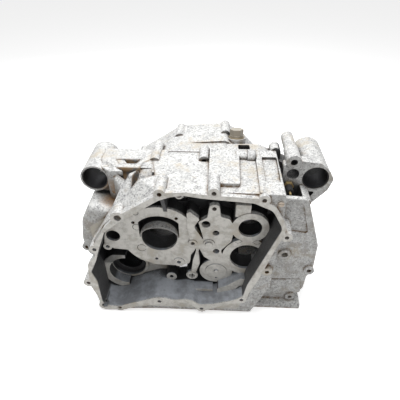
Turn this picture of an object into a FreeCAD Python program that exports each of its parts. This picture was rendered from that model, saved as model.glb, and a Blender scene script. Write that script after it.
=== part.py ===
import FreeCAD, Part
import math
import os
from FreeCAD import Rotation, Vector

# Crankcase of a small single-cylinder engine, standing upside down on its cylinder side.
# Drawing axes: x to the right from the middle top cover bolt, y from the clutch cover face towards the
# back, z up from the floor. The finished pieces are moved so that the origin lies on the crank axis, in the
# plane of the bearing wall's machined face.

# Driving dimensions in millimetres.
SIZES = {
    # How far a cutting piece reaches past what it cuts, and how deep a raised piece is sunk
    "over": 1, "sunk": 6,
    # Planes, measured from the clutch cover face
    "flange_back": 9, "boss_back": 34, "ridge_back": 62,
    "wall_face": 35, "gear_face": 32, "disc_face": 36, "pad_face": 20, "bridge_face": 40,
    "web_front": 58, "web_back": 66, "body_front": 7, "corner_front": 4,
    "flank_face": 30, "bulge_front": 30, "lug_front": 32,
    "split": 106, "split_flange": 7, "split_boss_front": 77,
    "rear_plate_back": 124, "rear_web_front": 140, "rear_web_back": 148, "rear_face": 182,
    # Heights above the floor
    "base_top": 12, "foot_top": 8, "top_face": 226.5,
    # Crank bearing
    "crank_x": -75, "crank_z": 124.5, "crank_bore": 25.2, "collar_wall": 2.6, "collar_reach": 10.4,
    "collar_step": 0.8, "crank_boss": 54.5, "groove_radius": 39, "groove_back": 52,
    "retainer_circle": 43.6, "retainer_hole": 2.4,
    # Gear shafts
    "main_x": 50.3, "main_z": 149.6, "main_bore": 15.9, "main_ring": 25.5,
    "counter_x": 49.4, "counter_z": 94.1, "counter_bore": 23.9, "counter_ring": 35.5, "ring_lip": 4,
    # Cover screws
    "screw_hole": 2.85, "screw_boss": 7.2, "dowel_hole": 4.6, "dowel_boss": 9, "dowel_depth": 9,
    "screw_depth": 26,
    # Bearing of the small shaft at the lower left, and the oil passage beside it
    "starter_x": -131, "starter_z": 47, "starter_bore": 26.5, "starter_step": 19.5, "starter_rim": 30.5,
    "starter_front": 56, "passage_radius": 33, "passage_bar": 5.5, "passage_face": 40,
    "left_hole_x": -141, "left_hole_z": 125, "left_hole": 10,
    # Engine mounts
    "left_mount_x": -160, "left_mount_z": 205, "left_mount_front": 60, "left_mount_back": 128,
    "left_mount_outer": 19.5,
    "right_mount_x": 131, "right_mount_z": 213.5, "right_mount_front": 62, "right_mount_back": 138,
    "right_mount_outer": 20,
    "mount_bore": 17.2, "sleeve_bore": 16, "sleeve_play": 0.05, "sleeve_set_back": 1.5,
    "sleeve_length": 30,
    # Breather tube boss beside the right mount
    "tube_x": 100, "tube_z": 237.5, "tube_outer": 9.6, "tube_bore": 4.4, "tube_tail": 8.3,
    "tube_front": 60, "tube_middle": 92, "tube_back": 130,
    "plate_front": 61, "plate_back": 74, "plate_hole_x": 101, "plate_hole_z": 219.5, "plate_hole": 8,
    # Case bolts and dowels
    "case_hole": 3.2, "case_shank": 3, "case_boss": 7.2, "case_across": 8, "case_flange": 6,
    "case_head_height": 5.5, "case_flange_height": 1.5, "case_thread": 22, "case_spot": 7.4,
    "case_dowel": 5, "case_dowel_bore": 3.6, "case_dowel_half": 6, "dowel_play": 0.05,
    # Cylinder opening in the base
    "spigot_x": -66, "spigot_y": 106, "spigot": 41, "stud_reach": 38, "stud_hole": 4.4,
    "stud_depth": 10, "rear_floor": 22,
    # Drain bolt
    "drain_x": 30, "drain_y": 139, "drain_z": 229.5, "drain_lean": 12, "drain_across": 17,
    "drain_head": 8.5, "drain_flange": 10, "drain_flange_height": 2.2, "drain_shank": 6,
    "drain_shank_length": 12, "drain_boss": 13.5, "drain_boss_height": 12,
    "washer_outer": 11.2, "washer_thick": 1.5,
    # Oil gallery along the top
    "gallery_y": 90, "gallery_z": 227, "gallery_pipe": 7.6, "gallery_left": 28, "gallery_right": 43,
    "plug_radius": 9.8, "plug_length": 11, "plug_round": 3.2, "plug_pilot": 4, "plug_pilot_length": 8,
    "plug_play": 0.4, "mount_play": 0.5,
    # Neutral switch
    "switch_x": 97.5, "switch_z": 202, "switch_hex": 12, "switch_hex_height": 4, "switch_body": 4.8,
    "switch_body_length": 12, "switch_pin": 1.6, "switch_pin_length": 6, "switch_thread": 4,
    "switch_thread_length": 9, "switch_core": 2.2, "switch_core_length": 6, "switch_pin_root": 1,
    "switch_pin_root_length": 4, "switch_play": 0.05,
    # Rounded edges, raised and sunk areas
    "bulge_round": 10, "flank_round": 3, "edge_round": 1.2, "platform_height": 5.5,
    "shoulder_front": 50, "mount_root_back": 4, "label_proud": 1.3, "lug_proud": 4, "panel_deep": 2,
    "pocket_back_floor": 202, "pocket_middle_floor": 198, "pocket_front_floor": 189,
    "seat_step": 5, "starter_floor": 2, "retainer_depth": 14,
    # Rib and oil bar under the roof of the clutch chamber
    "rib_left": -66.5, "rib_right": -61.5, "rib_bottom": 172, "rib_top": 224, "rib_front": 6,
    "roof_bar": 8, "roof_bar_length": 40, "roof_bar_x": -64, "roof_bar_y": 44, "roof_bar_z": 212,
    "passage_span": 60, "passage_rise": 34,
    # Rear case
    "rear_crank_bore": 26, "rear_main_bore": 10, "output_bore": 25, "shift_x": 14, "shift_z": 80.5,
    "shift_bore": 9.5, "rear_lug_x": 83, "rear_lug_z": 225, "rear_lug_root": 16, "rear_limit": 60,
    "drain_gap_floor": 214, "washer_play": 0.1,
    # Small fittings
    "sleeve_x": -30.1, "sleeve_z": 48, "oil_sleeve_outer": 6.6, "oil_sleeve_bore": 5.2,
    "oil_sleeve_proud": 1.5, "oil_sleeve_length": 10, "oil_sleeve_slit": 1.6, "oil_boss": 8.8,
    "face_screw_x": 79.5, "face_screw_z": 215, "face_screw_head": 3.6, "face_screw_height": 2,
    "face_screw_shank": 1.9, "face_screw_length": 9, "face_screw_slot": 0.9, "face_screw_play": 0.1,
}

# Corners of the outlines seen along the y axis: x, z and the radius that rounds the corner.
OUTLINES = {
    "rim": [(-62, 228, 10), (-34, 230.5, 20), (-12, 227.5, 14), (54, 224, 10), (74, 212, 14), (89, 186, 14),
            (90, 170, 10), (80, 140, 30), (66, 86, 20), (54, 53, 10), (50, 30, 5), (31, 28.5, 10),
            (12, 20, 12), (-8, 9, 6), (-20, 9, 6), (-29, 22, 6), (-40, 27, 10), (-56, 23.5, 20),
            (-112, 12.5, 20), (-134, 3, 8), (-166, 1.5, 8), (-169.5, 36, 20), (-175, 56, 8),
            (-175, 70, 10), (-171.5, 102, 10), (-158, 120, 8), (-156.5, 140, 8), (-138.5, 171, 20),
            (-122, 189, 8)],
    "chamber": [(-66, 217, 8), (-52, 222.5, 12), (-36, 225.5, 10), (-14, 222, 20), (48, 217, 16),
                (71, 206, 14), (86, 178, 14), (50.5, 71, 12), (46, 46, 5), (33, 35.5, 6), (3, 25, 12),
                (-17, 22, 10), (-27, 31, 8), (-38, 34, 8), (-54, 30.5, 14), (-69, 35.5, 8),
                (-83, 35, 8), (-139, 11, 22), (-164, 12, 22), (-164, 66, 30), (-169.5, 87, 6),
                (-158, 111, 8), (-152.5, 128, 8), (-139, 163, 8), (-119, 180, 8)],
    "body": [(-62, 226.5, 8), (60, 226.5, 4), (86, 190, 10), (84, 60, 10), (60, 1, 3), (-166, 1, 3),
             (-171, 50, 8), (-173, 95, 10), (-159, 120, 8), (-158, 142, 8), (-140, 171, 16),
             (-122, 188.5, 8)],
    "bulge": [(-128, 176, 6), (-166, 182, 12), (-181, 152, 34), (-187, 118, 24), (-183, 88, 12),
              (-166, 80, 6), (-150, 100, 6)],
    "flank": [(70, 206, 4), (119, 203, 8), (125, 186, 10), (137, 150, 10), (146, 122, 10),
              (147.5, 74, 8), (141, 58, 8), (140, 33, 8), (134, 20, 8), (120, 7, 10), (56, 5, 4)],
    "corner": [(56, 228, 2), (84, 228, 2), (86, 186, 8), (72, 176, 4), (56, 200, 4)],
    "shoulder": [(-58, 224.5, 2), (-133, 224.5, 4), (-139.5, 208, 4), (-136, 190, 4), (-122, 182, 4)],
    "mount_root": [(-120, 222, 3), (-152, 222, 4), (-160, 205, 3), (-152, 184, 4), (-120, 180, 4)],
    "split_outline": [(-62, 227.5, 8), (62, 227.5, 6), (92, 214, 10), (122, 202, 10), (138, 152, 12),
                      (147, 124, 12), (148.5, 74, 10), (142, 56, 8), (141, 32, 8), (126, 6, 12),
                      (60, 2, 3), (-166, 1, 3), (-173, 50, 10), (-186, 88, 12), (-188, 118, 24),
                      (-182, 152, 30), (-166, 183, 12), (-128, 192, 8)],
    "cavity": [(-58, 217, 8), (48, 217, 10), (76, 198, 10), (108, 190, 12), (127, 146, 12),
               (136, 120, 10), (137, 80, 8), (128, 22, 10), (60, 13, 6), (-156, 13, 8),
               (-165, 60, 10), (-171, 100, 12), (-166, 148, 14), (-146, 172, 10), (-114, 180, 8)],
    "rear_cavity": [(-58, 214, 8), (10, 218, 8), (34, 211, 8), (74, 184, 16), (106, 170, 12),
                    (124, 140, 12), (130, 118, 10), (128, 90, 8), (112, 34, 10), (98, 22, 8),
                    (-138, 22, 10), (-160, 62, 10), (-167, 100, 12), (-162, 146, 14),
                    (-144, 168, 10), (-114, 178, 8)],
    "rear_body": [(-120, 186, 26), (-62, 225, 16), (12, 229, 16), (40, 221, 12), (84, 194, 30),
                  (120, 184, 20), (138, 148, 20), (144, 70, 20), (124, 8, 14), (-150, 8, 16),
                  (-176, 64, 20), (-176, 130, 30), (-150, 178, 16)],
    "dome": [(-119, 184, 26), (-54, 226, 14), (14, 232, 12), (38, 219, 20), (70, 186, 40),
             (100, 112, 50), (76, 16, 30), (-118, 16, 34), (-150, 96, 50)],
    "rear_chamber": [(-112, 178, 22), (-52, 217, 12), (12, 223, 10), (33, 211, 20), (62, 180, 36),
                     (91, 112, 44), (70, 25, 26), (-113, 25, 28), (-141, 96, 44)],
    # Bearing wall and the islands that stand on it, inside the clutch chamber
    "crank_plate": [(-156, 108, 4), (-143, 100, 6), (-119, 98, 6), (-104, 81, 10), (-86, 69.5, 14),
                    (-50, 68.5, 8), (-33, 74, 6), (-31, 92, 8), (-38, 120, 10), (-42, 144, 10),
                    (-112, 170, 6), (-124, 172, 4), (-150, 148, 4)],
    "centre_plate": [(-20, 158, 3), (-8, 166, 4), (-5.5, 187, 6), (7.5, 189, 6), (10, 168, 5),
                     (22, 164.5, 3), (30, 150, 4), (26, 124, 6), (12, 106, 6), (20, 80, 6), (4, 80, 8),
                     (-12, 92, 6), (-20, 112, 8), (-13, 128, 6)],
    "leaf": [(-35.5, 172.5, 2), (-31, 175, 2), (-18, 163, 4), (-26, 149, 6), (-12.5, 124, 6),
             (-20, 104, 10), (-18, 78, 8), (-24, 58, 3), (-31, 58, 3), (-28, 84, 10), (-23, 106, 6),
             (-32, 124, 4), (-35.5, 150, 4)],
    "bridge": [(28, 160, 2), (50, 166, 2), (49, 218, 2), (29, 218, 2)],
    "slot_pad": [(9, 8, 3), (9, 37, 4), (22, 44, 6), (42, 61, 6), (54, 60, 4), (54, 20, 4)],
    "bearing_web": [(-160, 136, 4), (-122, 170, 4), (-104, 176, 4), (-38, 172, 4), (-34, 176, 2),
                    (8, 190, 3), (24, 170, 3), (52, 176, 4), (62, 176, 4), (76, 168, 4), (66, 100, 4),
                    (50, 60, 6), (30, 44, 6), (-20, 50, 6), (-40, 60, 6), (-60, 26, 6), (-80, 22, 4),
                    (-168, 2, 4)],
    # Recesses
    "flank_panel": [(92, 201, 4), (114, 195, 3), (128, 145, 3), (105, 149, 3), (93, 172, 4)],
    "slot_left": [(12.5, 14.5, 2.4), (12.5, 21.5, 2.4), (27, 25.5, 6), (42, 45, 6), (50, 47, 3),
                  (50.5, 38, 4), (40, 31, 6), (27, 17.5, 6)],
    "slot_right": [(22, 8.5, 2), (30, 17, 5), (50, 28.5, 3), (50, 24, 3), (34, 13.5, 5)],
    "web_triangle": [(121, 193, 2), (134, 193, 2), (127, 182, 2)],
    "mount_plate": [(88, 188, 4), (88, 232, 4), (104, 240, 6), (136, 236, 8), (155, 214, 8),
                    (150, 196, 8), (131, 172, 4), (116, 176, 4)],
    "label_pad": [(89, 52, 1.5), (132, 54, 1.5), (136, 25.5, 1.5), (92, 27, 1.5)],
}

# Corners of the outlines seen from above: x, y and the radius that rounds the corner.
PLANS = {
    "base": [(-172, 3, 6), (-60, 9, 20), (40, 9, 8), (57, 18, 2), (57, 106, 0), (-168, 106, 0)],
    "foot": [(50, 17, 1), (137, 17, 2), (137, 106, 0), (50, 106, 0)],
    "platform": [(-7.5, 19, 3), (31, 19, 3), (32.5, 104, 3), (-7.5, 104, 3)],
    "rear_base": [(-120, 100, 2), (-12, 100, 2), (-12, 156, 8), (-120, 156, 8)],
    "drain_gap": [(32, 108.5, 2), (48, 108.5, 2), (48, 121, 2), (32, 121, 2)],
    "top_panel": [(62, 88, 2), (82, 88, 2), (81, 30, 2), (62, 30, 2)],
    "pocket_back": [(-125, 82, 1.5), (-100, 82, 1.5), (-100, 69, 1.5), (-116, 69, 1.5)],
    "pocket_middle": [(-131, 60, 1.5), (-94, 60, 1.5), (-106, 41, 1.5)],
    "pocket_front": [(-113, 44, 2), (-80, 44, 2), (-80, 58, 2), (-94, 60, 2)],
}

# Places of what repeats: x and z.
COVER_SCREWS = {"a": (-64, 226), "b": (0, 229.5), "c": (59, 221.5), "d": (93, 164), "e": (75, 99.5),
                "f": (44.5, 37.5), "g": (-14, 13), "h": (-77, 26.5), "i": (-139, 8), "k": (-177.5, 63),
                "ll": (-157, 131.5)}
COVER_DOWELS = {"j": (-161.5, 12), "mm": (-118.5, 188)}
CASE_BOLTS = {"top_left": (-80.5, 222.5), "left": (-181, 104), "right": (140.5, 76),
              "right_low": (121.5, 16), "left_low": (-160, 10), "bottom": (-14, 8)}
CASE_DOWELS = ("left", "right")
REAR_SCREWS = {"one": (-114, 182), "two": (-53, 222), "three": (14, 228.5), "four": (66, 186),
               "five": (96, 112), "six": (74, 22), "seven": (-20, 18), "eight": (-114, 22),
               "nine": (-144, 96)}

# Round bosses that stand on the bearing wall: x, z, radius and the plane of the face.
BOSSES = {
    "disc": (6, 58, 24.5, 36), "disc_step": (6, 58, 16, 34.8), "disc_nub": (6.5, 60, 3.4, 32),
    "nub": (-5, 118.5, 8.5, 30.5), "nub_top": (-5, 118.5, 5.5, 28),
    "oil_boss": (-30.1, 48, 8.8, 35), "plate_boss": (-49, 76.5, 8.5, 34),
    "leaf_boss": (-28, 118.5, 6.5, 31), "left_boss": (-152, 103, 6.5, 35), "low_boss": (-62, 40, 8, 38),
    "starter_rim": (-131, 47, 30.5, 56),
}

# Round bosses on the outside: x, z, radius, the plane of the face and the plane where the boss ends.
OUTER_BOSSES = {"flank_boss": (101.5, 107, 8.8, 26, 50), "knob": (119.5, 194.5, 4.5, 34, 64),
                "top_boss": (-14.5, 226, 7.2, 77, 106)}

# Plain round holes: x, z, radius and the two planes between which they are cut.
HOLES = {
    "bore_one": (-9.6, 154.3, 6, 30, 68), "bore_two": (4.2, 138.9, 4.6, 30, 68),
    "screw_top": (1.1, 181.2, 3, 30, 48), "leaf_hole": (-28, 118.5, 2.9, 28, 48),
    "plate_hole": (-49, 76.5, 3, 32, 53), "left_boss_hole": (-152, 103, 2.8, 33, 49),
    "low_hole": (-62, 40, 3, 36, 52), "disc_hole": (6.8, 44.2, 1.6, 32, 44),
    "corner_hole": (5.5, 104, 4.6, 30, 68), "left_hole": (-141, 125, 10, 33, 68),
    "flank_hole": (101.5, 107, 4.6, 20, 44), "top_hole": (-14.5, 226, 3.2, 75, 107),
}

# Plain blocks: limits along x, y and z.
BLOCKS = {
    "bridge_step": (29, 49, 33, 66, 168, 188), "fin": (-32, 2, 24, 66, 25, 30),
    "top_ridge": (54, 60, 6, 106, 220, 229), "switch_room": (86, 112, 35, 61, 184, 216),
}

doc = FreeCAD.newDocument("crankcase")
sheet = doc.addObject("Spreadsheet::Sheet", "Sizes")


class Size:
    """A length with the spreadsheet formula that gives it, so that sums keep their formula."""

    def __init__(self, value, formula):
        self.value = float(value)
        self.formula = formula

    def __add__(self, other):
        other = as_size(other)
        return Size(self.value + other.value, "(%s + %s)" % (self.formula, other.formula))

    def __sub__(self, other):
        other = as_size(other)
        return Size(self.value - other.value, "(%s - %s)" % (self.formula, other.formula))

    def __mul__(self, other):
        other = as_size(other)
        return Size(self.value * other.value, "(%s * %s)" % (self.formula, other.formula))

    def __neg__(self):
        return Size(-self.value, "(0 - %s)" % self.formula)


def as_size(thing):
    """A plain number becomes a Size whose formula is that number."""
    if isinstance(thing, Size):
        return thing
    return Size(thing, repr(float(thing)))


class Cells:
    """Writes named values to the spreadsheet, one row each, and gives them back as Sizes."""

    def __init__(self):
        self.row = 0

    def add(self, name, value):
        self.row += 1
        sheet.set("A%d" % self.row, name)
        sheet.set("B%d" % self.row, str(value))
        sheet.setAlias("B%d" % self.row, name)
        return Size(value, "Sizes.%s" % name)


class Named:
    """The sizes as attributes, such as s.split."""


cells = Cells()
s = Named()
for size_name, size_value in SIZES.items():
    setattr(s, size_name, cells.add(size_name, size_value))


def corner_cells(table):
    """Every outline's corners, written to the sheet as NAME_x1, NAME_z1 and NAME_r1."""
    found = {}
    for name, corners in table.items():
        found[name] = [tuple(cells.add("%s_%s%d" % (name, axis, place), value)
                             for axis, value in zip(("u", "v", "round"), corner))
                       for place, corner in enumerate(corners, 1)]
    return found


def point_cells(table, kind):
    """Every place's x and z, written to the sheet as KIND_NAME_x and KIND_NAME_z."""
    return {name: (cells.add("%s_%s_x" % (kind, name), x), cells.add("%s_%s_z" % (kind, name), z))
            for name, (x, z) in table.items()}


def table_cells(table):
    """Every row's numbers, written to the sheet as NAME_1, NAME_2 and so on."""
    return {name: tuple(cells.add("%s_%d" % (name, place), value) for place, value in enumerate(row, 1))
            for name, row in table.items()}


outlines = corner_cells(OUTLINES)
plans = corner_cells(PLANS)
cover_screws = point_cells(COVER_SCREWS, "cover_screw")
cover_dowels = point_cells(COVER_DOWELS, "cover_dowel")
case_bolts = point_cells(CASE_BOLTS, "case_bolt")
rear_screws = point_cells(REAR_SCREWS, "rear_screw")
bosses = table_cells(BOSSES)
outer_bosses = table_cells(OUTER_BOSSES)
holes = table_cells(HOLES)
blocks = table_cells(BLOCKS)
doc.recompute()

ALONG_Y = Rotation(Vector(1, 0, 0), -90)
ALONG_X = Rotation(Vector(0, 1, 0), 90)
UPRIGHT = Rotation()
FACING_FRONT = Rotation(Vector(1, 0, 0), 90)


def bind(thing, prop, size):
    """Sets a property from a Size and ties it to the spreadsheet."""
    size = as_size(size)
    if "Sizes." in size.formula:
        thing.setExpression(prop, size.formula)


def place(thing, x, y, z, rotation=UPRIGHT):
    """Puts an object at x, y, z, tied to the spreadsheet."""
    where = [as_size(x), as_size(y), as_size(z)]
    thing.Placement = FreeCAD.Placement(Vector(*[size.value for size in where]), rotation)
    for axis, size in zip("xyz", where):
        bind(thing, "Placement.Base.%s" % axis, size)
    return thing


def rod(name, radius, length, x, y, z, rotation):
    """A cylinder with its foot at x, y, z, pointing along the rotated z axis."""
    thing = doc.addObject("Part::Cylinder", name)
    thing.Radius, thing.Height = as_size(radius).value, as_size(length).value
    bind(thing, "Radius", radius)
    bind(thing, "Height", length)
    return place(thing, x, y, z, rotation)


def drum(name, x, z, radius, front, back):
    """A cylinder along y from the plane front to the plane back."""
    return rod(name, radius, as_size(back) - front, x, front, z, ALONG_Y)


def box(name, x, y, z):
    """A box from three pairs of limits."""
    thing = doc.addObject("Part::Box", name)
    for prop, (low, high) in zip(("Length", "Width", "Height"), (x, y, z)):
        extent = as_size(high) - low
        setattr(thing, prop, extent.value)
        bind(thing, prop, extent)
    return place(thing, x[0], y[0], z[0])


def block(name):
    """One of the plain blocks of the table."""
    left, right, front, back, bottom, top = blocks[name]
    return box(name, (left, right), (front, back), (bottom, top))


def wedge(name, sides, heights, fronts, back):
    """A block whose front leans: fronts holds the plane at the bottom and the one at the top."""
    thing = doc.addObject("Part::Wedge", name)
    limits = {"Xmin": sides[0], "Xmax": sides[1], "X2min": sides[0], "X2max": sides[1],
              "Ymin": heights[0], "Ymax": heights[1], "Zmin": -as_size(back), "Z2min": -as_size(back),
              "Zmax": -as_size(fronts[0]), "Z2max": -as_size(fronts[1])}
    for prop, size in limits.items():
        setattr(thing, prop, size.value)
        bind(thing, prop, size)
    thing.Placement = FreeCAD.Placement(Vector(), FACING_FRONT)
    return thing


SHORTEST_ARC = 0.05


def rounded(corners):
    """Lines and arcs round a closed outline; a radius shrinks where its sides are too short."""
    points = [Vector(u, v, 0) for u, v, radius in corners]
    starts, ends, arcs = [], [], []
    for here, last, following, (u, v, radius) in zip(points, points[-1:] + points[:-1],
                                                     points[1:] + points[:1], corners):
        to_last, to_next = last - here, following - here
        half = to_last.getAngle(to_next) / 2
        reach = min(radius / math.tan(half), 0.45 * to_last.Length, 0.45 * to_next.Length)
        if reach < SHORTEST_ARC:
            reach = 0
        first = here + to_last.normalize() * reach
        final = here + to_next.normalize() * reach
        starts.append(first)
        ends.append(final)
        if reach > 0:
            turn_radius = reach * math.tan(half)
            bow = ((first + final) * 0.5 - here).normalize()
            arcs.append(Part.Arc(first, here + bow * (turn_radius / math.sin(half) - turn_radius), final))
    lines = [Part.LineSegment(end, start) for end, start in zip(ends, starts[1:] + starts[:1])]
    return lines + arcs


def profile(name, corners):
    """A sketch of a rounded outline."""
    sketch = doc.addObject("Sketcher::SketchObject", name)
    sketch.addGeometry(rounded([tuple(size.value for size in corner) for corner in corners]))
    return sketch


def prism(name, corners, front, back):
    """An outline in the x-z plane, extruded along y from the plane front to the plane back."""
    sketch = place(profile(name + "_sketch", corners), 0, front, 0, FACING_FRONT)
    return extrusion(name, sketch, Vector(0, 1, 0), as_size(back) - front)


def slab(name, corners, bottom, top):
    """An outline in the x-y plane, extruded upwards from the height bottom to the height top."""
    sketch = place(profile(name + "_sketch", corners), 0, 0, bottom)
    return extrusion(name, sketch, Vector(0, 0, 1), as_size(top) - bottom)


def extrusion(name, sketch, direction, length):
    thing = doc.addObject("Part::Extrusion", name)
    thing.Base = sketch
    thing.DirMode = "Custom"
    thing.Dir = direction
    thing.Solid = True
    thing.LengthFwd = length.value
    bind(thing, "LengthFwd", length)
    return thing


def join(name, pieces):
    thing = doc.addObject("Part::MultiFuse", name)
    thing.Shapes = pieces
    return thing


def overlap(name, pieces):
    thing = doc.addObject("Part::MultiCommon", name)
    thing.Shapes = pieces
    return thing


def cut(name, base, tools):
    thing = doc.addObject("Part::Cut", name)
    thing.Base = base
    thing.Tool = join(name + "_tools", tools) if len(tools) > 1 else tools[0]
    return thing


def group(name, pieces):
    thing = doc.addObject("Part::Compound", name)
    thing.Links = pieces
    return thing


def soften(name, base, radius, wanted):
    """Rounds the edges of a simple solid that the test picks out."""
    doc.recompute()
    thing = doc.addObject("Part::Fillet", name)
    thing.Base = base
    size = as_size(radius).value
    thing.Edges = [(place_in_list, size, size)
                   for place_in_list, edge in enumerate(base.Shape.Edges, 1) if wanted(edge)]
    return thing


def in_plane(axis, level):
    """A test for edges that lie in one plane across the given axis."""
    def wanted(edge):
        box_of_edge = edge.BoundBox
        low = {"y": box_of_edge.YMin, "z": box_of_edge.ZMin, "x": box_of_edge.XMin}[axis]
        high = {"y": box_of_edge.YMax, "z": box_of_edge.ZMax, "x": box_of_edge.XMax}[axis]
        return abs(low - level) < 0.01 and abs(high - level) < 0.01
    return wanted


def hexagon(name, across_flats, length, x, y, z, rotation):
    """A hexagonal bar with its foot at x, y, z."""
    thing = doc.addObject("Part::Prism", name)
    thing.Polygon = 6
    radius = as_size(across_flats) * (1 / math.sqrt(3))
    thing.Circumradius, thing.Height = radius.value, as_size(length).value
    bind(thing, "Circumradius", radius)
    bind(thing, "Height", length)
    return place(thing, x, y, z, rotation)


finished = {}


def finish(label, thing):
    """Names a sub-part and moves it so that the origin is on the crank axis."""
    thing.Label = label
    place(thing, -s.crank_x, -s.wall_face, -s.crank_z)
    finished[label] = thing


# Front case: the outer skin
bulge = soften("bulge_soft", prism("bulge", outlines["bulge"], s.bulge_front, s.split), s.bulge_round,
               in_plane("y", s.bulge_front.value))
flank = soften("flank_soft", prism("flank", outlines["flank"], s.flank_face, s.split), s.flank_round,
               in_plane("y", s.flank_face.value))
corner = soften("corner_soft", prism("corner", outlines["corner"], s.corner_front, s.split), s.edge_round,
                in_plane("y", s.corner_front.value))
platform_top = s.top_face + s.platform_height
platform = soften("platform_soft", slab("platform", plans["platform"], s.top_face - s.sunk, platform_top),
                  s.edge_round, in_plane("z", platform_top.value))

skin = [
    prism("rim", outlines["rim"], 0, s.flange_back),
    prism("body", outlines["body"], s.body_front, s.split),
    bulge, flank, corner, platform,
    prism("shoulder", outlines["shoulder"], s.shoulder_front, s.split),
    prism("mount_root", outlines["mount_root"], s.left_mount_front + s.mount_root_back, s.split),
    prism("split_ridge", outlines["split_outline"], s.split - s.split_flange, s.split),
    slab("base", plans["base"], 0, s.base_top),
    slab("foot", plans["foot"], 0, s.foot_top),
    prism("label_pad", outlines["label_pad"], s.flank_face - s.label_proud, s.flank_face + s.over),
    prism("mount_plate", outlines["mount_plate"], s.plate_front, s.plate_back),
    drum("left_mount", s.left_mount_x, s.left_mount_z, s.left_mount_outer, s.left_mount_front,
         s.left_mount_back),
    drum("right_mount", s.right_mount_x, s.right_mount_z, s.right_mount_outer, s.right_mount_front,
         s.right_mount_back),
    drum("tube_head", s.tube_x, s.tube_z, s.tube_outer, s.tube_front, s.tube_middle),
    drum("tube_tail", s.tube_x, s.tube_z, s.tube_tail, s.tube_middle, s.tube_back),
    rod("gallery", s.gallery_pipe, s.gallery_right - s.gallery_left, s.gallery_left, s.gallery_y,
        s.gallery_z, ALONG_X),
    block("top_ridge"),
]
for name, (x, z) in cover_screws.items():
    back = s.ridge_back if name == "ll" else s.boss_back
    skin.append(drum("screw_boss_" + name, x, z, s.screw_boss, 0, back))
for name, (x, z) in cover_dowels.items():
    skin.append(drum("dowel_boss_" + name, x, z, s.dowel_boss, 0, s.boss_back))
for name, (x, z, radius, front, back) in outer_bosses.items():
    skin.append(drum(name, x, z, radius, front, back))
BOLT_FRONTS = {"top_left": s.split_boss_front, "left": s.lug_front, "right": s.flank_face - s.lug_proud,
               "right_low": s.flank_face - s.lug_proud, "left_low": s.body_front, "bottom": s.body_front}
for name, (x, z) in case_bolts.items():
    skin.append(drum("case_boss_" + name, x, z, s.case_boss, BOLT_FRONTS[name], s.split))
outer = join("outer", skin)

# Front case: hollows
hollow = cut("hollow", outer, [
    prism("chamber", outlines["chamber"], -s.over, s.web_back + s.over),
    prism("front_cavity", outlines["cavity"], s.web_back, s.split + s.over),
])

# Front case: bearing wall and islands
passage = overlap("passage", [
    cut("passage_ring",
        drum("passage_outer", s.starter_x, s.starter_z, s.passage_radius + s.passage_bar,
             s.passage_face, s.web_back),
        [drum("passage_inner", s.starter_x, s.starter_z, s.passage_radius - s.passage_bar,
              s.passage_face - s.over, s.web_back + s.over)]),
    box("passage_quarter", (s.starter_x - s.passage_span, s.starter_x),
        (s.passage_face - s.over, s.web_back + s.over),
        (s.starter_z - s.passage_span, s.starter_z + s.passage_rise)),
])
islands = [
    hollow, passage,
    prism("bearing_web", outlines["bearing_web"], s.web_front, s.web_back),
    prism("crank_plate", outlines["crank_plate"], s.wall_face, s.web_back),
    drum("crank_boss", s.crank_x, s.crank_z, s.crank_boss, s.wall_face, s.web_back),
    prism("centre_plate", outlines["centre_plate"], s.gear_face, s.web_back),
    prism("leaf", outlines["leaf"], s.gear_face, s.web_back),
    drum("main_ring", s.main_x, s.main_z, s.main_ring, s.gear_face, s.web_back),
    drum("counter_ring", s.counter_x, s.counter_z, s.counter_ring, s.gear_face, s.web_back),
    prism("bridge", outlines["bridge"], s.bridge_face, s.web_back),
    prism("slot_pad", outlines["slot_pad"], s.pad_face, s.web_back),
    rod("roof_bar", s.roof_bar, s.roof_bar_length, s.roof_bar_x, s.roof_bar_y, s.roof_bar_z, ALONG_X),
    wedge("rib", (s.rib_left, s.rib_right), (s.rib_bottom, s.rib_top), (s.wall_face, s.rib_front),
          s.web_back),
    block("bridge_step"), block("fin"),
]
for name, (x, z, radius, front) in bosses.items():
    islands.append(drum(name, x, z, radius, front, s.web_back))
with_islands = join("with_islands", islands)

# Front case: bores, holes and pockets
collar_outer = s.crank_bore + s.collar_wall
groove_front = s.wall_face - s.over
groove = cut("groove", overlap("groove_window", [
    drum("groove_disc", s.crank_x, s.crank_z, s.groove_radius, groove_front, s.groove_back),
    box("groove_span", (s.crank_x - collar_outer, s.crank_x + collar_outer),
        (groove_front, s.groove_back), (s.crank_z, s.crank_z + s.groove_radius)),
]), [drum("groove_core", s.crank_x, s.crank_z, collar_outer, groove_front - s.over, s.groove_back + s.over)])
behind_web = s.web_back + s.over
before_gears = s.gear_face - s.over
before_plate = s.plate_front - s.over
behind_plate = s.plate_back + s.over
above_top = s.top_face + s.over

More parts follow.
